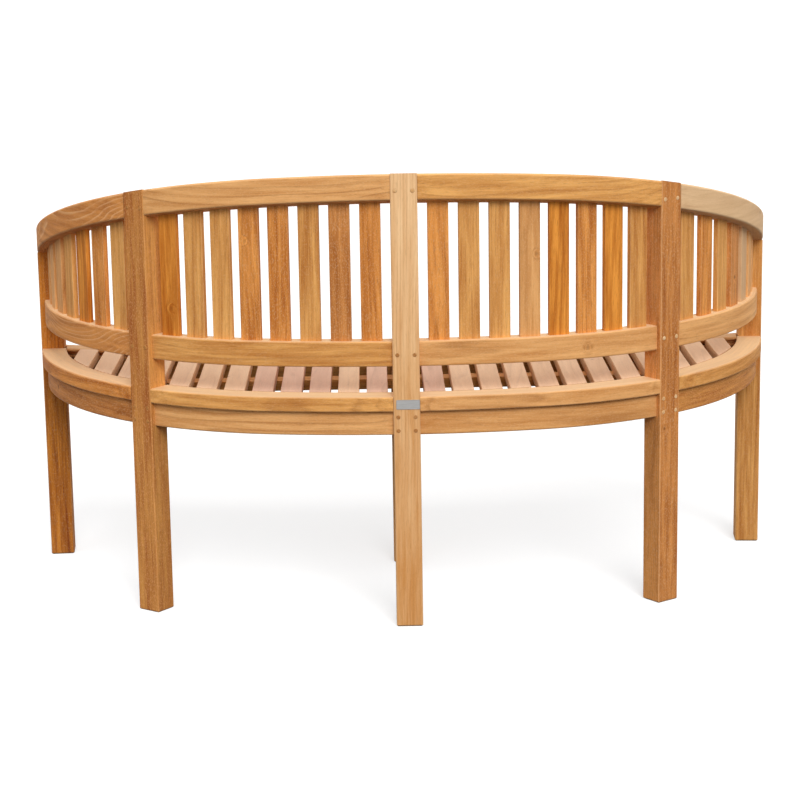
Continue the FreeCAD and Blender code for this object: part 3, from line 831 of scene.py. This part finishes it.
@dataclass
class BackSlats:
    """The upright slats of the back, each from another board: eight in a middle bay, seven in an end bay."""

    cuts: tuple[Cut, ...] = (Cut.FLAT, Cut.RIFT, Cut.QUARTER)

    def directions(self, name: str) -> list[Vector]:
        """Level directions across the slats of one bay.

        Args:
            name: CAD node of the bay's slats.

        Returns:
            One direction for each slat, from left to right.
        """
        layers = BoardLayers(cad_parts[name].data)
        return [level_axis(layers.places[points]) for points, _ in layers.solids()]

    def build(self) -> None:
        """Dresses the slats, each with its own tone."""
        amber, flame, gold, honey = Teak.AMBER, Teak.FLAME, Teak.GOLD, Teak.HONEY
        copper, rose = Teak.COPPER, Teak.ROSE
        looks = {
            "left_end": [(honey, 0.55), (honey, 0.50), (honey, 0.60), (gold, 0.45), (flame, 0.50),
                         (amber, 0.50), (gold, 0.35)],
            "left_middle": [(flame, 0.48), (gold, 0.40), (gold, 0.33), (amber, 0.48), (amber, 0.58),
                            (gold, 0.56), (copper, 0.50), (amber, 0.48)],
            "right_middle": [(amber, 0.16), (gold, 0.54), (gold, 0.40), (honey, 0.60), (flame, 0.42),
                             (amber, 0.42), (flame, 0.25), (gold, 0.60)],
            "right_end": [(gold, 0.40), (amber, 0.40), (gold, 0.50), (copper, 0.35), (rose, 0.60),
                          (honey, 0.40), (honey, 0.50)],
        }
        for bay, slats in looks.items():
            name = "back_slats_" + bay
            boards = []
            for number, (across, (teak, tint)) in enumerate(zip(self.directions(name), slats)):
                cut = self.cuts[number % len(self.cuts)]
                boards.append(Board(name + str(number), UP, across, teak, tint, cut))
            dress(name, boards)


@dataclass
class Seat:
    """The seat slats, the front board and apron, and the frame under the slats."""

    slat_count: int = 25
    pale_slats: int = 5
    pale_tint: float = 0.0
    tints: tuple[float, float] = (0.1, 0.6)
    dusky_share: float = 0.2
    # Painted highlight on the seat's faces that look up
    bleach: float = 0.38

    def build(self) -> None:
        """Dresses the seat, with the slats' grain from back to front."""
        right, front = Vector((1.0, 0.0, 0.0)), Vector((0.0, 1.0, 0.0))
        luck = random.Random("seat slats")
        for number in range(1, self.slat_count + 1):
            name = "seat_slat_%02d" % number
            teak = Teak.DUSKY if luck.random() < self.dusky_share else Teak.SEAT
            tint = luck.uniform(*self.tints) if number > self.pale_slats else self.pale_tint
            dress(name, [Board(name, front, right, teak, tint, Cut.FLAT, bleach=self.bleach)])
        board = Board("front_board", right, UP, Teak.HONEY, 0.4, Cut.RIFT, curved=True, bleach=self.bleach)
        dress("front_board", [board])
        for name in ("front_apron_left", "front_apron_right"):
            dress(name, [Board(name, right, UP, Teak.GOLD, 0.45, Cut.RIFT, curved=True)])
        for name in ("bearer_left", "bearer_middle", "bearer_right"):
            dress(name, [Board(name, front, right, Teak.GOLD, 0.6, Cut.RIFT)])
        dress("seat_batten", [Board("seat_batten", right, front, Teak.GOLD, 0.4, Cut.RIFT)])


@dataclass
class Pegs:
    """The turned pegs through the joints, sawn and sanded almost flush with the posts."""

    radius: float = 0.004
    proud: float = 0.0003
    bevel: float = 0.0006
    least_proud: float = 0.2
    narrowest: float = 0.95
    dome_rise: float = 1.15
    shoulder_rise: float = 1.1
    shoulder: float = 0.55
    tint_spread: float = 0.15
    inner_y: float = 0.31
    middle_reach: float = 0.2
    dark_below: float = 0.6
    sides: int = 20

    def peg(self, start: Vector, inwards: Vector, length: float, luck: random.Random) -> bmesh.types.BMesh:
        """Builds one peg with an eased, slightly domed end.

        Args:
            start: Middle of the peg's outer end on the post's face.
            inwards: Direction into the post.
            length: Length of the peg.
            luck: Source of the small hand-made differences.

        Returns:
            The peg as a mesh in the bench's frame.
        """
        shape = bmesh.new()
        proud = self.proud * luck.uniform(self.least_proud, 1.0)
        oval = luck.uniform(self.narrowest, 1.0)
        turn = luck.uniform(0.0, math.tau)
        across = inwards.cross(UP).normalized()
        flat = 1.0 - self.bevel / self.radius
        rings = [(-proud * self.dome_rise, 0.0), (-proud * self.shoulder_rise, self.shoulder), (-proud, flat),
                 (self.bevel - proud, 1.0), (length - self.bevel, 1.0), (length, flat), (length, 0.0)]
        loops = []
        for depth, share in rings:
            if share == 0.0:
                loops.append([shape.verts.new(start + inwards * depth)])
                continue
            loop = []
            for side in range(self.sides):
                angle = turn + math.tau * side / self.sides
                level = across * math.cos(angle) * oval + UP * math.sin(angle)
                loop.append(shape.verts.new(start + inwards * depth + level * self.radius * share))
            loops.append(loop)
        for first, second in zip(loops, loops[1:]):
            for side in range(self.sides):
                after = (side + 1) % self.sides
                corners = [first[side % len(first)], first[after % len(first)],
                           second[after % len(second)], second[side % len(second)]]
                shape.faces.new(list(dict.fromkeys(corners)))
        bmesh.ops.recalc_face_normals(shape, faces=shape.faces)
        return shape

    def timber(self, place: Vector) -> tuple[Teak, float]:
        """Picks the timber of a peg by where it sits.

        Args:
            place: Middle of the peg.

        Returns:
            Its finish and its tint: like the post at the left, darker than it low on the middle
            post, pale at the right.
        """
        if place.x < -self.middle_reach:
            return Teak.RUSSET, 0.35
        if place.x > self.middle_reach:
            return Teak.PEG, 0.6
        return (Teak.HONEY, 0.75) if place.z < self.dark_below else (Teak.PEG, 0.9)

    def build(self) -> None:
        """Replaces the plain pegs of the CAD node by detailed ones."""
        layers = BoardLayers(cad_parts["joint_pegs"].data)
        luck = random.Random("pegs")
        pieces = []
        for number, (points, faces) in enumerate(layers.solids(), start=1):
            place = layers.places[points]
            centre = Vector((place.min(axis=0) + place.max(axis=0)) / 2.0)
            inwards = level_axis(place)
            middle = Vector((0.0, self.inner_y, centre.z))
            if inwards.dot(middle - centre) < 0:
                inwards = -inwards
            reach = (place - np.array(centre)) @ np.array(inwards)
            start = centre + inwards * float(reach.min())
            length = float(reach.max() - reach.min())
            shape = self.peg(start, inwards, length, luck)
            name = "peg_%02d" % number
            piece = add_object(name, finished_mesh(shape, name, smooth=True))
            teak, tint = self.timber(centre)
            tint += luck.uniform(-self.tint_spread, self.tint_spread)
            board = Board(name, inwards, UP, teak, tint, Cut.RIFT)
            dress(name, [board], piece)
            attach(piece, "root")
            pieces.append(piece)
        for piece in pieces:
            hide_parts("joint_pegs")


@dataclass
class NamePlate:
    """The small bare metal plate that is pinned to the middle post."""

    corner: float = 0.0018
    least_corner: float = 0.0003
    rim: float = 0.0008
    rim_height: float = 0.00025
    pin_radius: float = 0.0010
    pin_height: float = 0.0002
    pin_inset: float = 0.0032
    pin_sides: tuple[int, int] = (16, 8)
    corner_steps: int = 5

    def outline(self, low: Vector, high: Vector, inset: float) -> list[Vector]:
        """Rounded rectangle in the plane of the plate.

        Args:
            low: Lowest corner of the plate.
            high: Highest corner of the plate.
            inset: Distance in from the plate's edge.

        Returns:
            Corner points at y = 0, in order.
        """
        radius = max(self.corner - inset, self.least_corner)
        points = []
        corners = ((high.x, high.z, 0), (low.x, high.z, 90), (low.x, low.z, 180), (high.x, low.z, 270))
        for x, z, start in corners:
            side_x = -1.0 if x == high.x else 1.0
            side_z = -1.0 if z == high.z else 1.0
            centre = Vector((x + side_x * (radius + inset), 0.0, z + side_z * (radius + inset)))
            for step in range(self.corner_steps + 1):
                angle = math.radians(start + 90.0 * step / self.corner_steps)
                points.append(centre + Vector((math.cos(angle), 0.0, math.sin(angle))) * radius)
        return points

    def build(self) -> None:
        """Replaces the plain plate by one with an eased raised rim and two pins."""
        low, high = (Vector(corner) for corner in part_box("name_plate"))
        front = low.y
        shape = bmesh.new()
        layers = [(high.y, 0.0), (front + self.rim_height, 0.0), (front, self.rim_height),
                  (front, self.rim), (front + self.rim_height, self.rim + self.rim_height)]
        loops = []
        for y, inset in layers:
            ring = self.outline(low, high, inset)
            loops.append([shape.verts.new(point + Vector((0.0, y, 0.0))) for point in ring])
        for first, second in zip(loops, loops[1:]):
            for number in range(len(first)):
                after = (number + 1) % len(first)
                shape.faces.new((first[number], first[after], second[after], second[number]))
        shape.faces.new(loops[0][::-1])
        shape.faces.new(loops[-1])
        bmesh.ops.recalc_face_normals(shape, faces=shape.faces)
        plate = add_object("bare_plate", finished_mesh(shape, "bare_plate", smooth=False))
        plate.data.materials.append(material_of(BrushedSteel("brushed_steel")))
        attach(plate, "root")
        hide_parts("name_plate")
        self.pins(low, high)
        log.info("built bare_plate")

    def pins(self, low: Vector, high: Vector) -> None:
        """Adds a small domed pin near each end of the plate.

        Args:
            low: Lowest corner of the plate.
            high: Highest corner of the plate.
        """
        middle = (low.z + high.z) / 2.0
        around, upwards = self.pin_sides
        flatness = self.pin_height / self.pin_radius
        places = (("plate_pin_left", low.x + self.pin_inset), ("plate_pin_right", high.x - self.pin_inset))
        for name, x in places:
            shape = bmesh.new()
            bmesh.ops.create_uvsphere(shape, u_segments=around, v_segments=upwards, radius=self.pin_radius)
            bmesh.ops.scale(shape, vec=(1.0, flatness, 1.0), verts=shape.verts)
            bmesh.ops.translate(shape, vec=(x, low.y + self.rim_height, middle), verts=shape.verts)
            pin = add_object(name, finished_mesh(shape, name, smooth=True))
            pin.data.materials.append(material_of(BrushedSteel("brushed_steel")))
            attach(pin, "root")


@dataclass
class Studio:
    """Plain pale floor, soft even light and the photograph's camera."""

    floor_size: float = 100.0
    sky_strength: float = 1.0
    key_energy: float = 1.85
    key_elevation: float = 37.0
    key_azimuth: float = 12.0
    key_softness: float = 28.0
    floor_colour: str = "#FAFAFA"
    bounce_colour: str = "#464646"
    floor_glow: float = 0.60
    lens: float = 104.42
    sensor: float = 36.0
    shift_x: float = -0.002
    clip: tuple[float, float] = (0.1, 100.0)
    camera_x: float = -0.0587
    camera_distance: float = 4.2057
    camera_height: float = 1.3407
    camera_right: tuple[float, float, float] = (0.99977, -0.01499, -0.01535)
    camera_up: tuple[float, float, float] = (0.01815, 0.20941, 0.97766)
    camera_forward: tuple[float, float, float] = (0.01144, 0.97771, -0.20963)

    def seen_share(self, tree: Tree) -> Socket:
        """Tells the rays that show the backdrop from those that light the bench.

        Args:
            tree: Node tree that needs the answer.

        Returns:
            1 where the backdrop is seen directly, in gloss or through glass, else 0.
        """
        path = add_node(tree, "ShaderNodeLightPath")
        gloss = scalar_math(tree, "MAXIMUM", path.outputs["Is Camera Ray"], path.outputs["Is Glossy Ray"])
        return scalar_math(tree, "MAXIMUM", gloss, path.outputs["Is Transmission Ray"])

    def build_floor(self) -> None:
        """Lays the floor under the bench."""
        half = self.floor_size / 2.0
        mesh = bpy.data.meshes.new("studio_floor")
        corners = [(-half, -half, 0.0), (half, -half, 0.0), (half, half, 0.0), (-half, half, 0.0)]
        mesh.from_pydata(corners, [], [(0, 1, 2, 3)])
        floor = add_object("studio_floor", mesh)
        material, tree = new_material("painted_floor")
        lit = add_node(tree, "ShaderNodeBsdfDiffuse", {"Color": linear(self.floor_colour), "Roughness": 1.0})
        glow = add_node(tree, "ShaderNodeEmission", {"Color": WHITE, "Strength": 1.0})
        shown = add_node(tree, "ShaderNodeMixShader", {
            0: self.floor_glow, 1: lit.outputs["BSDF"], 2: glow.outputs["Emission"]})
        bounce = add_node(tree, "ShaderNodeBsdfDiffuse", {
            "Color": linear(self.bounce_colour), "Roughness": 1.0})
        both = add_node(tree, "ShaderNodeMixShader", {
            0: self.seen_share(tree), 1: bounce.outputs["BSDF"], 2: shown.outputs["Shader"]})
        add_node(tree, "ShaderNodeOutputMaterial", {"Surface": both.outputs["Shader"]})
        mesh.materials.append(material)

    def build_sky(self) -> None:
        """Surrounds the bench with even white light."""
        world = bpy.data.worlds.new("studio_sky")
        bpy.context.scene.world = world
        world.use_nodes = True
        tree = world.node_tree
        tree.nodes.clear()
        strength = add_node(tree, "ShaderNodeMapRange", {
            "Value": self.seen_share(tree), "To Min": self.sky_strength, "To Max": 1.0})
        sky = add_node(tree, "ShaderNodeBackground", {
            "Color": WHITE, "Strength": strength.outputs["Result"]})
        add_node(tree, "ShaderNodeOutputWorld", {"Surface": sky.outputs["Background"]})

    def build_key(self) -> None:
        """Hangs one wide soft light above and a little to the right of the camera."""
        lamp = bpy.data.lights.new("key_light", "SUN")
        lamp.energy = self.key_energy
        lamp.angle = math.radians(self.key_softness)
        key = add_object("key_light", lamp)
        azimuth, elevation = math.radians(self.key_azimuth), math.radians(self.key_elevation)
        source = Vector((math.sin(azimuth) * math.cos(elevation), -math.cos(azimuth) * math.cos(elevation),
                         math.sin(elevation)))
        key.rotation_mode = "QUATERNION"
        key.rotation_quaternion = source.to_track_quat("Z", "Y")

    def build_camera(self) -> None:
        """Sets the camera where the photograph was taken from."""
        lens = bpy.data.cameras.new("photo_camera")
        lens.lens = self.lens
        lens.sensor_width = self.sensor
        lens.shift_x = self.shift_x
        lens.clip_start, lens.clip_end = self.clip
        camera = add_object("photo_camera", lens)
        right, up, back = Vector(self.camera_right), Vector(self.camera_up), -Vector(self.camera_forward)
        turn = Matrix((right, up, back)).transposed()
        face_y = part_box("middle_post")[0][1]
        place = Vector((self.camera_x, face_y - self.camera_distance, self.camera_height))
        camera.matrix_world = Matrix.Translation(place) @ turn.to_4x4()
        bpy.context.scene.camera = camera

    def build(self) -> None:
        """Sets up floor, light and camera with the plain view transform."""
        self.build_floor()
        self.build_sky()
        self.build_key()
        self.build_camera()
        bpy.context.scene.view_settings.view_transform = "Standard"
        log.info("built the studio")


def main() -> None:
    """Dresses the bench piece by piece and sets up the studio."""
    logging.basicConfig(level=logging.INFO, format="%(name)s: %(message)s")
    for assembly in (Posts(), CurvedRails(), BackSlats(), Seat(), Pegs(), NamePlate()):
        assembly.build()
    Studio().build()


if __name__ == "__main__":
    main()
